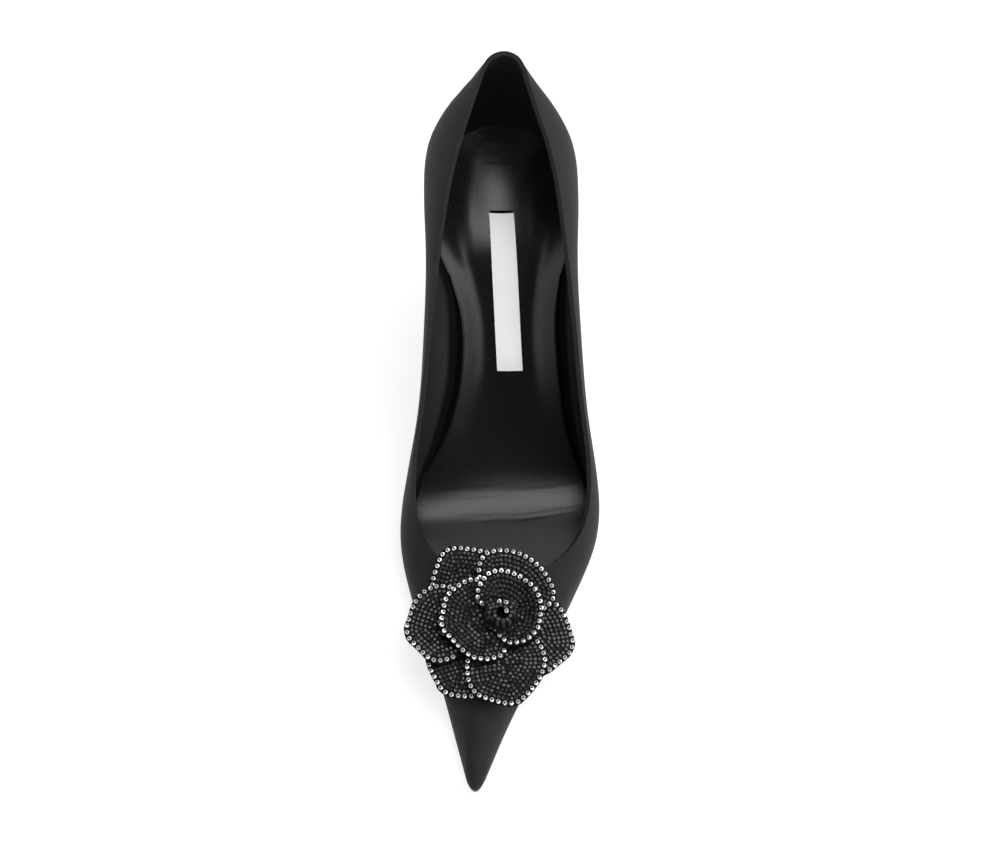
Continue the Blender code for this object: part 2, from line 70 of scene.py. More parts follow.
camera_data = bpy.data.cameras.new("camera")
camera_data.lens = CAMERA_LENS
camera_data.sensor_width = 36
camera = bpy.data.objects.new("camera", camera_data)
scene.collection.objects.link(camera)
line_of_sight = Vector((0, cos(CAMERA_ELEVATION), -sin(CAMERA_ELEVATION)))
camera.location = CAMERA_PIVOT - line_of_sight * CAMERA_DISTANCE
camera.rotation_euler = (CAMERA_AIM - camera.location).to_track_quat("-Z", "Y").to_euler()
scene.camera = camera
print("camera stands at", [round(value, 3) for value in camera.location])

# %% [markdown]
# A product photograph of a black shoe is lit from overhead and very softly, so that level surfaces catch a
# sheen and steep ones fall dark. A dome that is bright at its top and dim at the horizon does this. Two
# weaker glows stand low in front, like the lamps either side of a photographer, and light what faces the
# camera. Lamps would do too, but a glow on a dome has no hard edge that shows in the gloss. The camera sees a
# plain white backdrop in place of the dome.

# %% Dome
# Each glow's middle, its edge as the cosine of the angle off its middle, and its brightness
Glow = namedtuple("Glow", "middle edge brightness")
GLOWS = (
    Glow((0.22, 0.00, 1.0), 0.86, 6.5),
    Glow((0.86, -0.44, 0.22), 0.83, 4.4),
    Glow((-0.65, -0.62, 0.25), 0.86, 1.75),
)
DOME_BRIGHTNESS = 0.10
BACKDROP = 1.0

scene.view_settings.view_transform = "Standard"
dome = bpy.data.worlds.new("dome")
dome.use_nodes = True
dome_nodes, dome_links = dome.node_tree.nodes, dome.node_tree.links
direction = dome_nodes.new("ShaderNodeTexCoord")


def add_glow(glow):
    """A soft round glow on the dome, added to the light so far."""
    towards = dome_nodes.new("ShaderNodeVectorMath")
    towards.operation = "DOT_PRODUCT"
    towards.inputs[1].default_value = Vector(glow.middle).normalized()
    fall_off = dome_nodes.new("ShaderNodeMapRange")
    fall_off.interpolation_type = "SMOOTHSTEP"
    fall_off.inputs["From Min"].default_value = glow.edge
    fall_off.inputs["From Max"].default_value = 1.0
    fall_off.inputs["To Max"].default_value = glow.brightness
    total = dome_nodes.new("ShaderNodeMath")
    total.operation = "ADD"
    total.inputs[1].default_value = DOME_BRIGHTNESS
    dome_links.new(direction.outputs["Generated"], towards.inputs[0])
    dome_links.new(towards.outputs["Value"], fall_off.inputs["Value"])
    dome_links.new(fall_off.outputs["Result"], total.inputs[0])
    return total


seen_by = dome_nodes.new("ShaderNodeLightPath")
backdrop = dome_nodes.new("ShaderNodeMix")
backdrop.inputs["B"].default_value = BACKDROP
background = dome_nodes["Background"]
background.inputs["Color"].default_value = (1, 1, 1, 1)
sums = [add_glow(glow) for glow in GLOWS]
for total, following in zip(sums, sums[1:]):
    dome_links.new(total.outputs["Value"], following.inputs[1])
dome_links.new(sums[-1].outputs["Value"], backdrop.inputs["A"])
dome_links.new(seen_by.outputs["Is Camera Ray"], backdrop.inputs["Factor"])
dome_links.new(backdrop.outputs["Result"], background.inputs["Strength"])
scene.world = dome
print("dome with", len(GLOWS), "glows")

# %% [markdown]
# The floor is a lit table, which glows itself and washes its shadows out. It reaches far past the frame, so
# that no edge of it shows.

# %% Floor
FLOOR_SIZE = 40.0
FLOOR_TONE = (0.36, 0.36, 0.36, 1)
FLOOR_GLOW = 0.75

bpy.ops.object.select_all(action="DESELECT")
bpy.ops.mesh.primitive_plane_add(size=FLOOR_SIZE)
floor = bpy.context.object
floor.name = "floor"
floor_finish = bpy.data.materials.new("pale_floor")
floor_finish.use_nodes = True
floor_shader = floor_finish.node_tree.nodes["Principled BSDF"]
floor_shader.inputs["Base Color"].default_value = FLOOR_TONE
floor_shader.inputs["Roughness"].default_value = 0.9
floor_shader.inputs["Emission Color"].default_value = (1, 1, 1, 1)
floor_shader.inputs["Emission Strength"].default_value = FLOOR_GLOW
floor.data.materials.append(floor_finish)
print("floor of", FLOOR_SIZE, "m")

# %% [markdown]
# Finishes are small node trees. Each one starts from the Principled shader, then a few textures on Object
# coordinates vary its colour and roughness and raise a fine bump. Object coordinates are in metres, so a
# texture's scale is one over the size of its grain.

# %% Helpers for finishes
FADE_FROM, FADE_TO = 0.3, 0.7  # the part of a texture's range that a socket follows


def start_finish(name, colour, roughness):
    """A material with a Principled shader. Returns the material, its nodes, its links and the shader."""
    made = bpy.data.materials.new(name)
    made.use_nodes = True
    nodes, links = made.node_tree.nodes, made.node_tree.links
    shader = nodes["Principled BSDF"]
    shader.inputs["Base Color"].default_value = (*colour, 1)
    shader.inputs["Roughness"].default_value = roughness
    return made, nodes, links, shader


def add_noise(nodes, links, grain, detail=2.0):
    """Noise with features of about the given size, in metres."""
    where = nodes.new("ShaderNodeTexCoord")
    noise = nodes.new("ShaderNodeTexNoise")
    noise.inputs["Scale"].default_value = 1 / grain
    noise.inputs["Detail"].default_value = detail
    links.new(where.outputs["Object"], noise.inputs["Vector"])
    return noise.outputs["Fac"]


def add_pebble(nodes, links, grain):
    """The rounded cells of a leather grain, of about the given size, in metres."""
    where = nodes.new("ShaderNodeTexCoord")
    cells = nodes.new("ShaderNodeTexVoronoi")
    cells.feature = "SMOOTH_F1"
    cells.inputs["Scale"].default_value = 1 / grain
    links.new(where.outputs["Object"], cells.inputs["Vector"])
    return cells.outputs["Distance"]


def vary(nodes, links, factor, low, high, socket):
    """Runs a socket between two values or colours as a texture goes from dark to light."""
    fade = nodes.new("ShaderNodeValToRGB")
    for stop, value in zip(fade.color_ramp.elements, (low, high)):
        stop.color = (*value, 1) if isinstance(value, tuple) else (value, value, value, 1)
    fade.color_ramp.elements[0].position = FADE_FROM
    fade.color_ramp.elements[1].position = FADE_TO
    links.new(factor, fade.inputs["Fac"])
    links.new(fade.outputs["Color"], socket)


def raise_bump(nodes, links, shader, height, depth, strength):
    """Adds a bump to the shader, over any bump that it has already."""
    bump = nodes.new("ShaderNodeBump")
    bump.inputs["Distance"].default_value = depth
    bump.inputs["Strength"].default_value = strength
    links.new(height, bump.inputs["Height"])
    if shader.inputs["Normal"].is_linked:
        links.new(shader.inputs["Normal"].links[0].from_socket, bump.inputs["Normal"])
    links.new(bump.outputs["Normal"], shader.inputs["Normal"])


# %% [markdown]
# The upper and heel are covered in black satin with a short nap: nearly matte, a little cool, with a soft
# sheen where the surface turns away. One even black would look like plastic, so broad, faint clouds vary its
# colour, and a fine noise stands for the nap.

# %% Satin
def make_satin():
    made, nodes, links, shader = start_finish("black_satin", (0.0145, 0.0145, 0.0157), 0.72)
    cloud = add_noise(nodes, links, 9 * MM)
    vary(nodes, links, cloud, (0.013, 0.013, 0.0141), (0.016, 0.016, 0.0173), shader.inputs["Base Color"])
    nap = add_noise(nodes, links, 0.5 * MM, 3)
    vary(nodes, links, nap, 0.64, 0.80, shader.inputs["Roughness"])
    raise_bump(nodes, links, shader, nap, 0.05 * MM, 0.3)
    shader.inputs["Specular IOR Level"].default_value = 0.14
    shader.inputs["Sheen Weight"].default_value = 0.04
    shader.inputs["Sheen Roughness"].default_value = 0.4
    return made


satin = make_satin()
print("finish:", satin.name)


# %% [markdown]
# The sock and lining are leather with a fine pebble grain, which rounded cells draw better than noise. The
# sock has some gloss. The lining gets painted shade: an attribute of its mesh, depth, makes it darker and
# rougher in the groove beside the sock and inside the back. Cut edges, such as the insole's side, are raw and
# nearly black, and that near-black also stands in as painted shade for the gap beside the insole and the
# label's slits.

# %% Leather inside the shoe
def make_sock_leather():
    made, nodes, links, shader = start_finish("sock_leather", (0.0045, 0.0045, 0.0045), 0.29)
    cloud = add_noise(nodes, links, 14 * MM)
    vary(nodes, links, cloud, (0.004, 0.004, 0.004), (0.005, 0.005, 0.005), shader.inputs["Base Color"])
    pebble = add_pebble(nodes, links, 0.4 * MM)
    vary(nodes, links, pebble, 0.26, 0.32, shader.inputs["Roughness"])
    raise_bump(nodes, links, shader, pebble, 0.04 * MM, 0.25)
    shader.inputs["Specular IOR Level"].default_value = 0.31
    return made


def make_lining():
    made, nodes, links, shader = start_finish("lining_leather", (0.016, 0.016, 0.016), 0.5)
    # depth carries painted shade: where it is high the lining's colour darkens and its roughness rises.
    depth = nodes.new("ShaderNodeAttribute")
    depth.attribute_name = "depth"
    unshaded_lining, painted_shade_lining = (0.016, 0.016, 0.016), (0.0005, 0.0005, 0.0005)
    vary(nodes, links, depth.outputs["Fac"], unshaded_lining, painted_shade_lining, shader.inputs["Base Color"])
    vary(nodes, links, depth.outputs["Fac"], 0.5, 1.0, shader.inputs["Roughness"])
    pebble = add_pebble(nodes, links, 0.4 * MM)
    raise_bump(nodes, links, shader, pebble, 0.04 * MM, 0.25)
    shader.inputs["Specular IOR Level"].default_value = 0.16
    return made


def make_cut_edge_and_painted_shade():
    # Near-black for raw cut edges, which also paints the shade in the gap beside the insole and in the label's
    # slits.
    made, nodes, links, shader = start_finish("cut_edge_and_painted_shade", (0.002, 0.002, 0.002), 0.9)
    fibre = add_noise(nodes, links, 0.2 * MM)
    raise_bump(nodes, links, shader, fibre, 0.03 * MM, 0.3)
    shader.inputs["Specular IOR Level"].default_value = 0.05
    return made


sock_leather = make_sock_leather()
lining = make_lining()
cut_edge_and_painted_shade = make_cut_edge_and_painted_shade()
print("finishes:", ", ".join(made.name for made in (sock_leather, lining, cut_edge_and_painted_shade)))


# %% [markdown]
# The sole is smooth leather with faint scuffs, so noise varies its gloss more than its shape. The top piece
# is dull, speckled rubber. The label's threads are finer than the picture shows, so noise is enough.

# %% Sole leather, rubber and label cloth
def make_sole_leather():
    made, nodes, links, shader = start_finish("sole_leather", (0.018, 0.018, 0.018), 0.4)
    scuff = add_noise(nodes, links, 3 * MM, 6)
    vary(nodes, links, scuff, 0.34, 0.52, shader.inputs["Roughness"])
    raise_bump(nodes, links, shader, scuff, 0.04 * MM, 0.25)
    return made


def make_top_rubber():
    made, nodes, links, shader = start_finish("top_rubber", (0.016, 0.016, 0.016), 0.7)
    speck = add_noise(nodes, links, 0.4 * MM, 4)
    vary(nodes, links, speck, 0.62, 0.8, shader.inputs["Roughness"])
    raise_bump(nodes, links, shader, speck, 0.04 * MM, 0.4)
    return made


def make_label_cloth():
    made, nodes, links, shader = start_finish("label_cloth", (0.95, 0.95, 0.95), 0.6)
    thread = add_noise(nodes, links, 0.25 * MM, 2)
    vary(nodes, links, thread, (0.93, 0.93, 0.93), (0.98, 0.98, 0.98), shader.inputs["Base Color"])
    raise_bump(nodes, links, shader, thread, 0.03 * MM, 0.3)
    return made


sole_leather = make_sole_leather()
top_rubber = make_top_rubber()
label_cloth = make_label_cloth()
print("finishes:", ", ".join(made.name for made in (sole_leather, top_rubber, label_cloth)))

# %% [markdown]
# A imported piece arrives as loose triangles. A copy becomes a good cage again when its doubles are merged
# and its triangles are paired into quads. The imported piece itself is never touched: the copy replaces it in
# the picture. A search tree of a piece's faces is what rays are sent against later on.

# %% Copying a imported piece
MERGE_DISTANCE = 0.001 * MM
QUAD_TURN, QUAD_SKEW = radians(50), radians(60)  # limits for pairing two triangles into a quad


def edit(piece):
    """Makes a piece the only selected one and opens it in edit mode, with everything on it selected."""
    bpy.ops.object.select_all(action="DESELECT")
    piece.select_set(True)
    bpy.context.view_layer.objects.active = piece
    bpy.ops.object.mode_set(mode="EDIT")
    bpy.ops.mesh.select_mode(type="FACE")
    bpy.ops.mesh.select_all(action="SELECT")


def copy_node(node, name, finish):
    """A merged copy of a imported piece, in quads, that stands for it."""
    piece = bpy.data.objects.new(name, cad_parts[node].data.copy())
    piece.data.name = name
    scene.collection.objects.link(piece)
    piece.data.materials.clear()
    piece.data.materials.append(finish)
    edit(piece)
    bpy.ops.mesh.customdata_custom_splitnormals_clear()
    bpy.ops.mesh.remove_doubles(threshold=MERGE_DISTANCE)
    bpy.ops.mesh.tris_convert_to_quads(face_threshold=QUAD_TURN, shape_threshold=QUAD_SKEW)
    bpy.ops.object.mode_set(mode="OBJECT")
    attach(piece, "root")
    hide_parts(node)
    return piece


def tree_of(piece, into=Matrix.Identity(4)):
    """A search tree of a piece's faces, in a given frame."""
    points = [into @ point.co for point in piece.data.vertices]
    return BVHTree.FromPolygons(points, [list(face.vertices) for face in piece.data.polygons])


# %% [markdown]
# Real edges are never knife sharp, so each cage gets a narrow bevel along its sharp edges. Subdivision then
# smooths what lies between them. Smoothing pulls a cage inward, so its points are first pushed out by as
# much.

# %% Rounding and smoothing
SIZE_ROUNDS = 3
SHARP = radians(50)  # edges that turn more than this are bevelled on most pieces
SHADE_LIMIT = radians(35)  # and those that turn more than this stay crisp


def points_of(mesh):
    """A mesh's points as rows of x, y and z."""
    points = np.empty(len(mesh.vertices) * 3)
    mesh.vertices.foreach_get("co", points)
    return points.reshape(-1, 3)


def set_points(mesh, points):
    """Puts rows of x, y and z back into a mesh."""
    mesh.vertices.foreach_set("co", np.ascontiguousarray(points).ravel())
    mesh.update()


def round_edges(piece, angle, width, segments=2):
    """Bevels the edges of a piece that turn more than an angle."""
    edit(piece)
    bpy.ops.mesh.select_mode(type="EDGE")
    bpy.ops.mesh.select_all(action="DESELECT")
    bpy.ops.mesh.edges_select_sharp(sharpness=angle)
    bpy.ops.mesh.bevel(offset=width, segments=segments, affect="EDGES", clamp_overlap=True)
    bpy.ops.object.mode_set(mode="OBJECT")


def smooth_cage(piece, levels):
    """Subdivides a cage so that the smooth surface passes through the cage's points."""
    aims = points_of(piece.data)
    smooth = piece.modifiers.new("smooth", "SUBSURF")
    smooth.levels = levels
    smooth.render_levels = levels
    for _ in range(SIZE_ROUNDS):
        graph = bpy.context.evaluated_depsgraph_get()
        reached = points_of(piece.evaluated_get(graph).data)[: len(aims)]
        set_points(piece.data, points_of(piece.data) + aims - reached)
    bpy.context.view_layer.objects.active = piece
    bpy.ops.object.modifier_apply(modifier=smooth.name)
    piece.data.shade_smooth()


def shade_round(piece):
    """Shades a piece smooth, apart from its sharp edges."""
    bpy.ops.object.select_all(action="DESELECT")
    piece.select_set(True)
    bpy.context.view_layer.objects.active = piece
    bpy.ops.object.shade_smooth_by_angle(angle=SHADE_LIMIT)


def move_faces(piece, faces_that, shift):
    """Moves the faces of a piece that pass a test, by a distance each way."""
    edit(piece)
    bpy.ops.mesh.select_all(action="DESELECT")
    cage = bmesh.from_edit_mesh(piece.data)
    for face in cage.faces:
        face.select = faces_that(face)
    bmesh.update_edit_mesh(piece.data)
    bpy.ops.transform.translate(value=shift)
    bpy.ops.object.mode_set(mode="OBJECT")


# %% [markdown]
# The upper is one shell. Its outside and its folded top edge are satin, and its inside is the lining. The
# shell's two sides meet at square edges, so a flood fill that stops at sharp edges picks the inside.

# %% Upper
RIM_SHARP, RIM_ROUND = radians(60), 0.5 * MM
SIDE_LIMIT = radians(60)  # a smooth side ends where its faces turn more than this
LINING_IN, LINING_DOWN = 8 * MM, 30 * MM  # a place near the lining, from the upper's back and its top


def select_side(piece, near):
    """Selects, in edit mode, the smooth side of a shell that holds the face nearest to a point."""
    bpy.ops.object.mode_set(mode="OBJECT")
    faces = piece.data.polygons
    seed = min(faces, key=lambda face: (face.center - near).length)
    for face in faces:
        face.select = face.index == seed.index
    bpy.ops.object.mode_set(mode="EDIT")
    bpy.ops.mesh.faces_select_linked_flat(sharpness=SIDE_LIMIT)


_, upper_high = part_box("upper")
upper = copy_node("upper", "upper_shell", satin)
upper.data.materials.append(lining)
edit(upper)
select_side(upper, Vector((0, upper_high.y - LINING_IN, upper_high.z - LINING_DOWN)))
upper.active_material_index = 1
bpy.ops.object.material_slot_assign()
bpy.ops.object.mode_set(mode="OBJECT")
round_edges(upper, RIM_SHARP, RIM_ROUND)
smooth_cage(upper, 2)
upper_tree = tree_of(upper)
print("upper:", len(upper.data.polygons), "faces")

# %% [markdown]
# The insole is the board that the foot stands on, covered by the sock. It lies against the lining, so no
# light comes up beside it. The points of its side slide outward until a ray meets the lining: the lower edge
# all round, and the upper edge too round the seat and the ball. Only its top keeps the sock's finish.

# %% Insole and its side
SLIDE_START, SLIDE_REACH = 1 * MM, 8 * MM  # a ray starts this far inside the side, and ends this far on
SLIDE_GAP = 0.1 * MM
SLIDE_LIFTS = np.arange(0, 5, 0.25) * MM  # the lower edge looks this far up for the lining
SEAT_FRONT, SEAT_BACK = 52 * MM, 80 * MM  # behind these the upper edge starts to slide, and slides fully
BALL_FRONT, BALL_BACK = 2 * MM, 20 * MM  # before these it slides fully, and at all
SEAT_MIDDLE = Vector((0.4, 92, 0)) * MM  # the seat's edge is round this place
SEAT_CLIMB = 0.85  # the upper edge climbs the lining by this share of the way it slides
OVER_BALL = Vector((0, 0, 40)) * MM  # places that pick the upper and the lower face
UNDER_BALL = Vector((0, 0, -20)) * MM

insole = copy_node("insole", "insole_sock", sock_leather)
# The insole's side is a raw cut edge, near-black, which also paints the shade of the gap between it and the
# lining.
insole.data.materials.append(cut_edge_and_painted_shade)


def ramp(value, low, high):
    """A smooth step from 0 at low to 1 at high."""
    share = np.clip((value - low) / (high - low), 0, 1)
    return share * share * (3 - 2 * share)


def smooth_side(piece, near):
    """The numbers of the faces on the smooth side of a plate that lies nearest to a point."""
    edit(piece)
    select_side(piece, near)
    bpy.ops.object.mode_set(mode="OBJECT")
    return {face.index for face in piece.data.polygons if face.select}


def slide_out(piece, tree):
    """Slides a plate's side outward, just short of the wall. All but its top gets the second finish."""
    upper_side = smooth_side(piece, OVER_BALL)
    lower_side = smooth_side(piece, UNDER_BALL)
    cage = bmesh.new()
    cage.from_mesh(piece.data)
    for face in cage.faces:
        face.material_index = 0 if face.index in upper_side else 1
    moved = 0
    for point in cage.verts:
        sides = [face for face in point.link_faces if face.index not in upper_side | lower_side]
        if not sides:
            continue
        is_upper = any(face.index in upper_side for face in point.link_faces)
        at_seat = ramp(point.co.y, SEAT_FRONT, SEAT_BACK)
        at_ball = 1 - ramp(point.co.y, BALL_FRONT, BALL_BACK)
        share = max(at_seat, at_ball) if is_upper else 1.0
        is_behind = point.co.y > SEAT_MIDDLE.y
        out = point.co - SEAT_MIDDLE if is_behind else sum((face.normal for face in sides), Vector())
        out.z = 0
        out.normalize()
        for lift in SLIDE_LIFTS:
            place, facing, _, _ = tree.ray_cast(point.co + UP * lift - out * SLIDE_START, out, SLIDE_REACH)
            if is_upper or (place and facing.dot(out) < 0):
                break
        if place and is_upper:
            start = point.co + UP * (SEAT_CLIMB * at_seat * (place - point.co).length)
            place, facing, _, _ = tree.ray_cast(start - out * SLIDE_START, out, SLIDE_REACH)
        if place and facing.dot(out) < 0:
            point.co = point.co.lerp(place - out * SLIDE_GAP, share)
            moved += 1
    cage.to_mesh(piece.data)
    cage.free()
    return moved


print(slide_out(insole, upper_tree), "points of the insole's side reach for the lining")

# %% [markdown]
# The plate's sharp edges get a narrow bevel, and all of it is smoothed. At the seat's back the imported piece's
# faces crowd together, which would show as a dent in the gloss, so those points are evened out.

# %% Smoothing the insole
INSOLE_SHARP, INSOLE_ROUND = radians(28), 0.4 * MM
SEAT_TIP = Vector((0.4, 106, 0)) * MM  # the faces crowd together behind this place
TIP_LENGTH, TIP_WIDTH = 11 * MM, 16 * MM
TIP_ROUNDS = 40

round_edges(insole, INSOLE_SHARP, INSOLE_ROUND)
smooth_cage(insole, 3)
edit(insole)
bpy.ops.mesh.select_mode(type="VERT")
bpy.ops.mesh.select_all(action="DESELECT")
cage = bmesh.from_edit_mesh(insole.data)
for point in cage.verts:
    is_behind = SEAT_TIP.y < point.co.y < SEAT_TIP.y + TIP_LENGTH
    is_central = abs(point.co.x - SEAT_TIP.x) < TIP_WIDTH / 2
    point.select = is_behind and is_central and point.normal.z > 0.5
evened = sum(point.select for point in cage.verts)
bmesh.update_edit_mesh(insole.data)
bpy.ops.mesh.vertices_smooth(factor=0.5, repeat=TIP_ROUNDS)
bpy.ops.object.mode_set(mode="OBJECT")
print(evened, "points evened out at the seat's back")

# %% [markdown]
# A sock isn't a plain sheet either. A soft trough runs along each side where it starts to turn up, and fine
# creases cross the ball. Both are worked out from a point's distance to a line, and move only points of the
# upper face. A generator with a seed lets the creases wander the same way in every run.

# %% The sock's troughs and creases
TROUGH_DEPTH = 0.7 * MM
TROUGH_WIDTH = 3.0 * MM
TROUGH_PLACE = 9.0 * MM  # from the insole's edge
TROUGH_ENDS = (25 * MM, 50 * MM, 70 * MM, 88 * MM)  # starts, is deepest from and to, ends
CREASE_COUNT = 11
CREASE_FRONT, CREASE_BACK = -10 * MM, 4 * MM
CREASE_SLANT, SLANT_SPREAD = 0.10, 0.03  # the creases run back towards the outer side
CREASE_MIDDLES = (-18, 18)  # mm, where across the sock a crease has its middle
CREASE_HALVES = (12, 24)  # mm, half its length
CREASE_BEND = 1.2  # spread of the bends, per metre
CREASE_DEPTH = 0.07 * MM
CREASE_WIDTH = 0.55 * MM
CREASE_SEED = 4
EDGE_BANDS = 160


def edge_distance(points):
    """Distance on the plan from each point to the nearest end of a band across the insole."""
    limits = np.linspace(points[:, 1].min(), points[:, 1].max(), EDGE_BANDS + 1)
    rim = []
    for low, high in zip(limits, limits[1:]):
        band = points[(points[:, 1] >= low) & (points[:, 1] <= high)]
        rim += [band[band[:, 0].argmin()], band[band[:, 0].argmax()]]
    return np.min([np.hypot(*(points - spot)[:, :2].T) for spot in rim], axis=0)


sock = points_of(insole.data)
is_top = np.zeros(len(sock), bool)
for face in insole.data.polygons:
    if face.material_index == 0:
        is_top[list(face.vertices)] = True
top = sock[is_top]
across, along = top[:, 0], top[:, 1]
starts, deep_from, deep_to, ends = TROUGH_ENDS
fade = ramp(along, starts, deep_from) * (1 - ramp(along, deep_to, ends))
top[:, 2] -= TROUGH_DEPTH * fade * np.exp(-(((edge_distance(top) - TROUGH_PLACE) / TROUGH_WIDTH) ** 2))
wander = np.random.default_rng(CREASE_SEED)
for place in np.linspace(CREASE_FRONT, CREASE_BACK, CREASE_COUNT):
    middle, half = wander.uniform(*CREASE_MIDDLES) * MM, wander.uniform(*CREASE_HALVES) * MM
    slant, bend = CREASE_SLANT + wander.normal(0, SLANT_SPREAD), wander.normal(0, CREASE_BEND)
    line = place + slant * across + bend * across**2
    fade = np.clip(1 - ((across - middle) / half) ** 2, 0, 1)
    top[:, 2] -= CREASE_DEPTH * fade * np.exp(-(((along - line) / CREASE_WIDTH) ** 2))
sock[is_top] = top
set_points(insole.data, sock)
print("insole:", len(insole.data.polygons), "faces,", CREASE_COUNT, "creases")

# %% [markdown]
# Little light reaches the groove beside the sock, or the inside of the back. A soft dome alone leaves them
# too pale, so shade is painted there: the upper's mesh gets an attribute, depth, that darkens its lining: 1
# down in the groove, falling to 0 a little above it, and about a half all over the back.

# %% Painted shade on the lining
SHADE_REACH = 8 * MM  # the lining darkens from this far off the sock
BACK_SHADE = 0.52  # and evenly inside the back
BACK_START, BACK_FULL = 70 * MM, 92 * MM

sock_tree = tree_of(insole)
from_sock = np.array([sock_tree.find_nearest(point.co)[3] for point in upper.data.vertices])
in_groove = 1 - ramp(from_sock, 0, SHADE_REACH)
in_back = ramp(points_of(upper.data)[:, 1], BACK_START, BACK_FULL)
# The attribute depth is painted shade for the lining: highest in the groove, about a half inside the back.
depth = upper.data.attributes.new("depth", "FLOAT", "POINT")
depth.data.foreach_set("value", in_groove * (1 - in_back) + BACK_SHADE * in_back)
print(int((in_groove > 0).sum()), "points of the upper lie near the sock")

# %% [markdown]
# The sole, the heel and its top piece are close to their final shape. Their glued faces are moved up to the
# upper, over the gap that the model keeps, because glue leaves no open slit.

# %% Sole, heel and top piece
GLUE_GAP = 0.28 * MM
SOLE_ROUND = 0.35 * MM
TOP_PIECE_ROUND = 0.3 * MM


def faces_up(face):
    """Whether a face is glued to what lies over it."""
    return face.normal.z > 0.5


def faces_heel(face):
    """Whether a face of the sole stands against the heel."""
    return face.normal.y > 0.6 and abs(face.normal.z) < 0.8


sole = copy_node("outsole", "sole_blank", sole_leather)
move_faces(sole, faces_up, (0, 0, GLUE_GAP))
move_faces(sole, faces_heel, (0, GLUE_GAP, 0))
round_edges(sole, SHARP, SOLE_ROUND)
shade_round(sole)

heel = copy_node("heel", "heel_covered", satin)
move_faces(heel, faces_up, (0, 0, GLUE_GAP))
round_edges(heel, SHARP, SOLE_ROUND)
shade_round(heel)

top_piece = copy_node("top_piece", "heel_top_piece", top_rubber)
move_faces(top_piece, faces_up, (0, 0, GLUE_GAP))
round_edges(top_piece, SHARP, TOP_PIECE_ROUND)
shade_round(top_piece)
print("sole, heel and top piece:", [len(piece.data.polygons) for piece in (sole, heel, top_piece)], "faces")

# %% [markdown]
# The label is a bare white strip. Its two ends are tucked into slits in the sock, whose shade shows as short
# dark lines. A slit is a thin near-black bar, painted shade, set square to the label just past either end and
# sunk until it barely shows.

# %% Label
LABEL_ROUND = 0.15 * MM
SLIT_WIDTH = 11.6 * MM
SLIT_LENGTH = 1.4 * MM
SLIT_THICKNESS = 0.5 * MM
SLIT_DROP = 0.93 * MM  # middle of the slit under the label's face
SLIT_OUT = 0.5 * MM  # and past the label's end
END_LENGTH = 1.0 * MM  # the label's points this close to an end give the end's place

label = copy_node("sock_label", "label_strip", label_cloth)


def label_end(front):
    """The frame of one end of the label: X across it, Y along it and Z off its face."""
    faces = [face for face in label.data.polygons if face.normal.z > 0.7]
    points = [label.data.vertices[index].co for face in faces for index in face.vertices]
    last = min(point.y for point in points) if front else max(point.y for point in points)
    end = [point for point in points if abs(point.y - last) < END_LENGTH]
    middle = sum(end, Vector()) / len(end)
    across = (max(end, key=lambda point: point.x) - min(end, key=lambda point: point.x)).normalized()
    square = min(faces, key=lambda face: (face.center - middle).length).normal
    along = square.cross(across).normalized()
    turned = Matrix((across, along, across.cross(along))).transposed().to_4x4()
    outward = along * (-SLIT_OUT if front else SLIT_OUT)
    return Matrix.Translation(middle + outward - square * SLIT_DROP) @ turned


slit_bars = []
for front in (True, False):
    bpy.ops.object.select_all(action="DESELECT")
    bpy.ops.mesh.primitive_cube_add(size=1)
    slit = bpy.context.object
    edit(slit)
    bpy.ops.transform.resize(value=(SLIT_WIDTH, SLIT_LENGTH, SLIT_THICKNESS))
    bpy.ops.mesh.bevel(offset=SLIT_THICKNESS / 4, segments=2, affect="EDGES")
    bpy.ops.object.mode_set(mode="OBJECT")
    slit.matrix_world = label_end(front)
    bpy.ops.object.transform_apply(location=True, rotation=True, scale=True)
    slit_bars.append(slit)
for slit in slit_bars:
    slit.select_set(True)
bpy.ops.object.join()
slit_shade = bpy.context.object
slit_shade.name = "label_slit_shade"
# The bars are near-black: painted shade in the slits.
slit_shade.data.materials.append(cut_edge_and_painted_shade)
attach(slit_shade, "root")
round_edges(label, SHARP, LABEL_ROUND)
shade_round(label)
print("label with", len(slit_bars), "slit_shade")

# %% [markdown]
# The flower stands square to the vamp on a short post. All of it is worked out in its own frame, where
# heights and turns are simple numbers: the post is Z, and X points to the outer side.

# %% Flower's frame
FLOWER_SEAT = Vector((0.7, -61.06, 27.3)) * MM
FLOWER_TILT = radians(10.25)  # the vamp leans this far towards the toe

flower_frame = Matrix.Translation(FLOWER_SEAT) @ Matrix.Rotation(FLOWER_TILT, 4, "X")
to_flower = flower_frame.inverted()
print("flower's post points along", [round(value, 3) for value in flower_frame.col[2][:3]])


# %% [markdown]
# The petals are cloth sheets covered with small black stones, with a border of larger clear stones. Noise
# about as wide as a stone gives each one its own tone. A clear stone looks darker through its flat top than
# at its facets, so its top gets a near-black finish of its own: a painted dark reflection.

# %% Finishes of the flower
def make_petal_cloth():
    made, nodes, links, shader = start_finish("petal_cloth", (0.004, 0.004, 0.0045), 0.7)
    weave = add_noise(nodes, links, 0.3 * MM, 3)
    vary(nodes, links, weave, (0.002, 0.002, 0.0023), (0.006, 0.006, 0.0066), shader.inputs["Base Color"])
    raise_bump(nodes, links, shader, weave, 0.05 * MM, 0.4)
    shader.inputs["Specular IOR Level"].default_value = 0.12
    return made


def make_black_stone():
    made, nodes, links, shader = start_finish("black_stone", (0.018, 0.018, 0.02), 0.2)
    tone = add_noise(nodes, links, 2.2 * MM)
    vary(nodes, links, tone, (0.004, 0.004, 0.0045), (0.032, 0.032, 0.036), shader.inputs["Base Color"])
    shader.inputs["Specular IOR Level"].default_value = 0.3
    return made


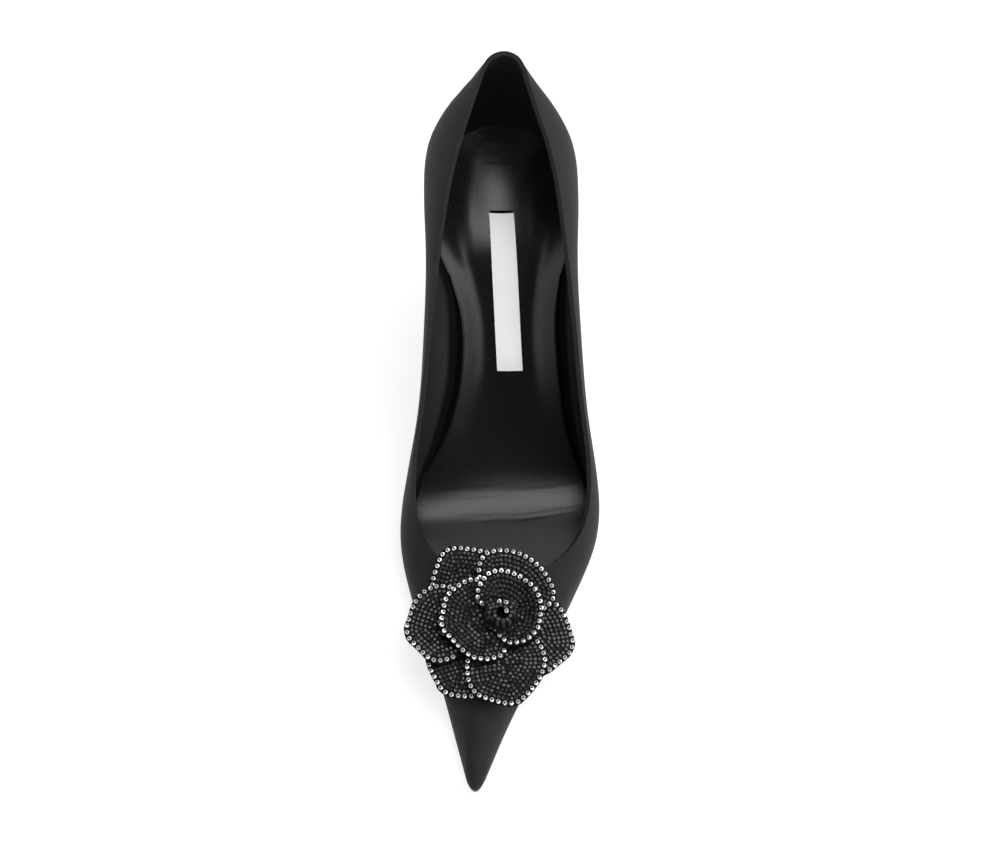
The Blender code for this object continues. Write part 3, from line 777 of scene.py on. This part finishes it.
def make_clear_stone():
    made, nodes, links, shader = start_finish("clear_stone", (0.95, 0.95, 0.96), 0.18)
    tone = add_noise(nodes, links, 1.5 * MM)
    vary(nodes, links, tone, (0.90, 0.90, 0.92), (0.99, 0.99, 1.0), shader.inputs["Base Color"])
    shader.inputs["Metallic"].default_value = 0.6
    return made


# The flat top of a clear stone: near-black, a painted dark reflection.
def make_painted_dark_table():
    made, nodes, links, shader = start_finish("painted_dark_table", (0.02, 0.02, 0.022), 0.3)
    tone = add_noise(nodes, links, 1.2 * MM)
    vary(nodes, links, tone, (0.004, 0.004, 0.005), (0.05, 0.05, 0.055), shader.inputs["Base Color"])
    shader.inputs["Specular IOR Level"].default_value = 0.1
    return made


petal_cloth = make_petal_cloth()
black_stone = make_black_stone()
clear_stone = make_clear_stone()
painted_dark_table = make_painted_dark_table()
flower_finishes = (petal_cloth, black_stone, clear_stone, painted_dark_table)
print("finishes:", ", ".join(made.name for made in flower_finishes))

# %% [markdown]
# A petal is a stiff sheet, cut to shape and cupped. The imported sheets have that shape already, so they only
# need rounded edges and some smoothing. The bud is one long sheet, rolled up, and keeps its crisp edges.

# %% Petals and bud
PETAL_SHARP, PETAL_ROUND = radians(60), 0.3 * MM
PETALS = [name for name in sorted(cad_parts) if name.startswith("petal_")]
petals = {}
for node in PETALS:
    petals[node] = copy_node(node, node.replace("petal", "sheet"), petal_cloth)
    round_edges(petals[node], PETAL_SHARP, PETAL_ROUND)
    smooth_cage(petals[node], 1)
bud = copy_node("flower_bud", "bud_roll", petal_cloth)
shade_round(bud)
print(len(petals), "petal sheets and a bud")

# %% [markdown]
# A stone is an eight-sided prism with its top drawn in to a table, modelled once. Its back is glued down and
# left open. Hundreds of them cover the flower, so it has few faces.

# %% One stone
STONE_SIDES = 8


def model_stone(name, materials, radius, height, girdle, table):
    """A faceted stone on the origin. Its sides rise to girdle, a share of its height, and its top's width is
    table, a share of its own width."""
    bpy.ops.object.select_all(action="DESELECT")
    bpy.ops.mesh.primitive_cylinder_add(vertices=STONE_SIDES, radius=radius, depth=height * girdle)
    stone = bpy.context.object
    stone.name = name
    for made in materials:
        stone.data.materials.append(made)
    edit(stone)
    bpy.ops.transform.translate(value=(0, 0, height * girdle / 2))
    bpy.ops.mesh.select_all(action="DESELECT")
    cage = bmesh.from_edit_mesh(stone.data)
    for face in cage.faces:
        face.select = face.normal.z > 0.9
    bmesh.update_edit_mesh(stone.data)
    bpy.ops.mesh.extrude_region_move(TRANSFORM_OT_translate={"value": (0, 0, height * (1 - girdle))})
    bpy.ops.transform.resize(value=(table, table, 1))
    if len(materials) > 1:
        stone.active_material_index = 1
        bpy.ops.object.material_slot_assign()
    cage = bmesh.from_edit_mesh(stone.data)
    bmesh.ops.delete(cage, geom=[face for face in cage.faces if face.normal.z < -0.9], context="FACES_ONLY")
    bmesh.update_edit_mesh(stone.data)
    bpy.ops.object.mode_set(mode="OBJECT")
    return stone


black_seed = model_stone(
    "black_seed", [black_stone], radius=0.78 * MM, height=0.7 * MM, girdle=0.74, table=0.58
)
clear_seed = model_stone(
    "clear_seed", [clear_stone, painted_dark_table], radius=0.83 * MM, height=0.75 * MM, girdle=0.8, table=0.52
)
print("a stone has", len(black_seed.data.polygons), "faces")

# %% [markdown]
# A setter lays stones in rows that follow a petal's edge, each row one pitch further in. To find that edge,
# rays dropped on the sheet step in from outside, all the way round. The line that they give is then moved
# inward for each row and walked along in even steps.

# %% Lines along a petal's edge
DROP_HEIGHT = 60 * MM  # over everything on the flower
EDGE_REACH, EDGE_STEP = 40 * MM, 0.2 * MM
EDGE_TURNS = 240  # directions in which the edge is looked for
ROOT_RADIUS = 4.0 * MM  # no stones this close to the post

trees = {node: tree_of(piece, to_flower) for node, piece in petals.items()}
bud_tree = tree_of(bud, to_flower)


def drop(tree, x, y):
    """Where a ray from above meets a sheet, and which way the sheet faces there."""
    place, facing, _, _ = tree.ray_cast(Vector((x, y, DROP_HEIGHT)), -UP)
    return place, facing


def petal_edge(tree):
    """The petal's outer edge as points on the flower's plan, found by stepping in from outside."""
    edge = []
    for angle in np.linspace(-pi, pi, EDGE_TURNS, endpoint=False):
        for reach in np.arange(EDGE_REACH, ROOT_RADIUS, -EDGE_STEP):
            spot = (reach * cos(angle), reach * sin(angle))
            if drop(tree, *spot)[0]:
                edge.append(spot)
                break
        else:
            edge.append(None)
    start = next(i for i in range(EDGE_TURNS) if edge[i] is None and edge[(i + 1) % EDGE_TURNS])
    ordered = [edge[(start + i) % EDGE_TURNS] for i in range(EDGE_TURNS)]
    return np.array([spot for spot in ordered if spot])


def smooth_line(line, rounds=6):
    """Evens out a line's small steps and keeps its ends."""
    for _ in range(rounds):
        line[1:-1] = (line[:-2] + 2 * line[1:-1] + line[2:]) / 4
    return line


def inset(line, distance):
    """Moves a line on the plan inward, square to itself. The line runs counter-clockwise."""
    run = np.gradient(line, axis=0)
    run /= np.hypot(run[:, 0], run[:, 1])[:, None]
    return line + np.column_stack([-run[:, 1], run[:, 0]]) * distance


def walk(line, pitch, start):
    """Points at even steps along a line."""
    lengths = np.concatenate([[0], np.cumsum(np.hypot(*np.diff(line, axis=0).T))])
    stations = np.arange(start, lengths[-1], pitch)
    return np.column_stack([np.interp(stations, lengths, line[:, axis]) for axis in (0, 1)])


edges = {node: smooth_line(petal_edge(trees[node])) for node in PETALS}
print("points on the petals' edges:", [len(edge) for edge in edges.values()])

# %% [markdown]
# A ray dropped on the sheet finds a stone's seat and the way it faces. A second ray, sent up from there,
# leaves out the stones that another petal would cover. A fine grid of spots then fills the holes that the
# rows leave.

# %% Rows of stones
BORDER_INSET = 0.75 * MM
BORDER_PITCH = 2.5 * MM
FIRST_ROW = 1.8 * MM  # from the border's stones
ROW_PITCH = 1.65 * MM
ROW_COUNT = 16
BORDER_CLEARANCE = BORDER_PITCH * 0.8
ROW_CLEARANCE = ROW_PITCH * 0.86
COVER_START, COVER_REACH = 0.3 * MM, 9 * MM  # how far over a seat another sheet hides it

FILL_STEPS = np.arange(-40, 40, 0.45) * MM
FILL_GRID = [(x, y) for y in FILL_STEPS for x in FILL_STEPS]


def is_covered(node, place):
    """Whether another petal or the bud lies close over a place."""
    others = [tree for name, tree in trees.items() if name != node] + [bud_tree]
    return any(tree.ray_cast(place + UP * COVER_START, UP, COVER_REACH)[0] for tree in others)


def seat_stones(node, spots, clearance, taken):
    """Seats for stones at spots of the plan that lie on the sheet, open to view and clear of other stones."""
    seats = []
    for x, y in spots:
        place, facing = drop(trees[node], x, y)
        if place is None or hypot(x, y) < ROOT_RADIUS or is_covered(node, place):
            continue
        if any((place - other).length < clearance for other in taken):
            continue
        taken.append(place)
        seats.append((place, facing))
    return seats


border_seats, black_seats = [], []
for node, edge in edges.items():
    taken = []
    spots = walk(inset(edge, BORDER_INSET), BORDER_PITCH, 0)
    border_seats += seat_stones(node, spots, BORDER_CLEARANCE, taken)
    for row in range(ROW_COUNT):
        line = inset(edge, BORDER_INSET + FIRST_ROW + row * ROW_PITCH)
        spots = walk(smooth_line(line), ROW_PITCH, (row % 2) * ROW_PITCH / 2)
        black_seats += seat_stones(node, spots, ROW_CLEARANCE, taken)
    inside = [spot for spot in FILL_GRID if np.hypot(*(edge - spot).T).min() > BORDER_INSET + FIRST_ROW]
    black_seats += seat_stones(node, inside, ROW_CLEARANCE, taken)
print(len(border_seats), "border stones and", len(black_seats), "black stones on the petals")

# %% [markdown]
# The bud's sheet is rolled up, and stones stand in rings round its wall and along its top edge. Rays sent in
# towards the post find the wall. The top edge is a spiral, so its stones are stepped along one. A few clear
# stones stand at the back of the spiral and at its core.

# %% Stones of the bud
BUD_FOOT = 11.2 * MM
BUD_TOP = 20.0 * MM
BUD_CORE = 1.8 * MM
BUD_REACH = 4.8 * MM
BUD_TURNS = 1.6
BUD_FALL = 3.0 * MM  # the rim comes down from the core to the spiral's end
CLEAR_STRETCHES = ((0.0, 0.04), (0.70, 0.86))  # shares of the spiral, from its core
SPIRAL_STEPS = 240
RING_TOP = BUD_TOP - 1 * MM
RING_COUNT = round(2 * pi * (BUD_REACH + 1 * MM) / ROW_PITCH)
RING_START = 20 * MM  # rays start this far from the post
RING_CLEARANCE = ROW_PITCH * 0.8

bud_places = []
for height in np.arange(BUD_FOOT, RING_TOP, ROW_PITCH):
    for angle in np.linspace(0, 2 * pi, RING_COUNT, endpoint=False):
        inward = Vector((-cos(angle), -sin(angle), 0))
        place, facing, _, _ = bud_tree.ray_cast(UP * height - inward * RING_START, inward)
        if place and all((place - other).length > RING_CLEARANCE for other in bud_places):
            bud_places.append(place)
            black_seats.append((place, facing))

rim_places = []
for share in np.linspace(0, 1, SPIRAL_STEPS):
    angle = 2 * pi * BUD_TURNS * share
    reach = BUD_CORE + (BUD_REACH - BUD_CORE) * share
    place = Vector((reach * cos(angle), reach * sin(angle), BUD_TOP - BUD_FALL * share))
    is_clear = any(low <= share <= high for low, high in CLEAR_STRETCHES)
    pitch = BORDER_PITCH if is_clear else ROW_PITCH
    if all((place - other).length > pitch for other in rim_places):
        rim_places.append(place)
        (border_seats if is_clear else black_seats).append((place, UP))
print(len(bud_places), "stones on the bud's wall and", len(rim_places), "on its rim")

# %% [markdown]
# The stones on the flower are copies of the one stone's points, each set on its seat, turned to face out of
# the sheet and joined into one mesh. No setter lays two stones quite alike, so each one has a turn and a
# slight tilt of its own, and they glitter one by one.

# %% Copying the stones
TURN_SEED = 7
STONE_TURN = 2 * pi / STONE_SIDES
STONE_TILT = radians(9.5)  # spread of the tilts

turns = np.random.default_rng(TURN_SEED)


def scatter(name, seed, seats):
    """One mesh of copies of a stone, one at each seat, each with a turn and a slight tilt of its own."""
    points = np.array([point.co for point in seed.data.vertices])
    corners = [list(face.vertices) for face in seed.data.polygons]
    finishes = [face.material_index for face in seed.data.polygons]
    all_points, all_faces, all_finishes = [], [], []
    for place, facing in seats:
        outward = facing.to_track_quat("Z", "Y").to_matrix()
        turn = Matrix.Rotation(turns.uniform(0, STONE_TURN), 3, "Z")
        tilt = Matrix.Rotation(turns.normal(0, STONE_TILT), 3, "X")
        matrix = flower_frame @ Matrix.Translation(place) @ (outward @ turn @ tilt).to_4x4()
        start = len(all_points) * len(points)
        all_points.append(points @ np.array(matrix.to_3x3()).T + np.array(matrix.translation))
        all_faces += [[start + corner for corner in face] for face in corners]
        all_finishes += finishes
    mesh = bpy.data.meshes.new(name)
    mesh.from_pydata(np.concatenate(all_points).tolist(), [], all_faces)
    for made in seed.data.materials:
        mesh.materials.append(made)
    mesh.polygons.foreach_set("material_index", all_finishes)
    piece = bpy.data.objects.new(name, mesh)
    scene.collection.objects.link(piece)
    bpy.data.objects.remove(seed)
    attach(piece, "root")
    print(name, "has", len(mesh.polygons), "faces")


scatter("stones_black", black_seed, black_seats)
scatter("stones_clear", clear_seed, border_seats)
